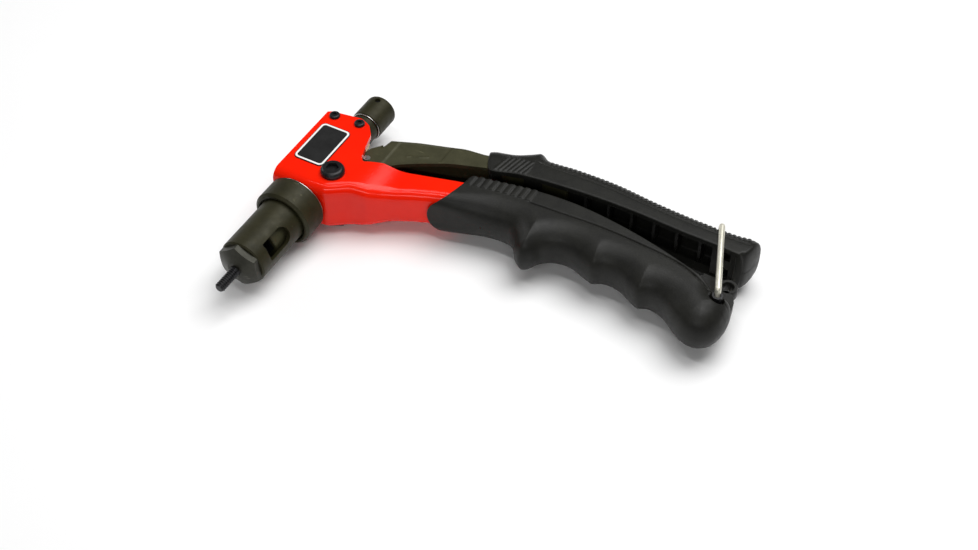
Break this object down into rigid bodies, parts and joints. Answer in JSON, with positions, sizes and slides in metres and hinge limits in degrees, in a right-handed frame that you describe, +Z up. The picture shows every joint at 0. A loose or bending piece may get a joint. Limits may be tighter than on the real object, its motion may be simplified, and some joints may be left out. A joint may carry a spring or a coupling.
{
  "type": "hand riveter",
  "caption": "Lever-action hand riveter for threaded inserts: pressed channel frame, rotary mandrel in a screwed nose barrel, moulded grips and a wire bail that holds the handles shut.",
  "frame": {"origin": "on the mandrel axis in the front face of the nosepiece, at the root of the mandrel's exposed thread", "axes": "+X forwards out of the nose along the mandrel, +Y towards the ends of the handles, +Z up with the tool lying on its side; Z=0 is its mid-plane"},
  "size_m": [0.1451, 0.2272, 0.0344],
  "materials": {
    "frame_paint": "gloss orange-red",
    "dark_steel": "dark olive phosphated steel, satin",
    "black_oxide": "black oxide, satin",
    "plain_steel": "bright machined steel",
    "bronze": "plain bearing bronze",
    "nickel_wire": "nickel-plated wire, satin",
    "black_grip": "black textured grip plastic",
    "label": "black plate with a white border line"
  },
  "bodies": {
    "frame": {"frame_channel": "frame_paint", "nose_bush": "dark_steel", "rear_block": "dark_steel", "guide_bush": "bronze", "rear_screws_upper": "black_oxide", "rear_screws_lower": "black_oxide", "pivot_bolt": "black_oxide", "pivot_nut": "black_oxide", "pivot_bushing": "plain_steel", "pivot_washers": "plain_steel", "label_plate": "label", "return_spring": "plain_steel", "lower_grip": "black_grip", "bail_pivot_sleeve": "plain_steel"},
    "lever": {"lever_channel": "dark_steel", "lever_pin": "plain_steel", "upper_grip": "black_grip"},
    "puller": {"puller_sleeve": "dark_steel", "spring_seat_washer": "plain_steel", "thrust_bearing": "plain_steel"},
    "spindle": {"spindle": "plain_steel", "mandrel": "black_oxide", "mandrel_lock_nut": "black_oxide", "knob": "dark_steel", "knob_set_screw": "black_oxide"},
    "barrel": {"nose_barrel": "dark_steel", "nosepiece": "black_oxide"},
    "collar": {"lock_collar": "dark_steel"},
    "bail": {"wire_bail": "nickel_wire"}
  },
  "joints": [
    {"name": "lever_pivot", "type": "hinge", "parent": "frame", "child": "lever", "pos_m": [-0.0653, 0.0124, 0], "axis": [0, 0, 1], "range_deg": [0, 20], "deforming": ["return_spring", "wire_bail"]},
    {"name": "puller_slide", "type": "slide", "parent": "frame", "child": "puller", "axis": [1, 0, 0], "range_m": [0, 0.0045]},
    {"name": "spindle_spin", "type": "hinge", "parent": "puller", "child": "spindle", "pos_m": [0, 0, 0], "axis": [1, 0, 0], "continuous": true},
    {"name": "barrel_turn", "type": "hinge", "parent": "frame", "child": "barrel", "pos_m": [-0.03, 0, 0], "axis": [1, 0, 0], "continuous": true},
    {"name": "collar_turn", "type": "hinge", "parent": "frame", "child": "collar", "pos_m": [-0.045, 0, 0], "axis": [1, 0, 0], "continuous": true},
    {"name": "bail_swing", "type": "hinge", "parent": "frame", "child": "bail", "pos_m": [-0.0836, 0.2038, 0], "axis": [0, 0, 1], "range_deg": [-200, 0]}
  ],
  "couplings": [
    {"joint": "puller_slide", "follows": "lever_pivot", "m_per_rad": 0.01215}
  ]
}
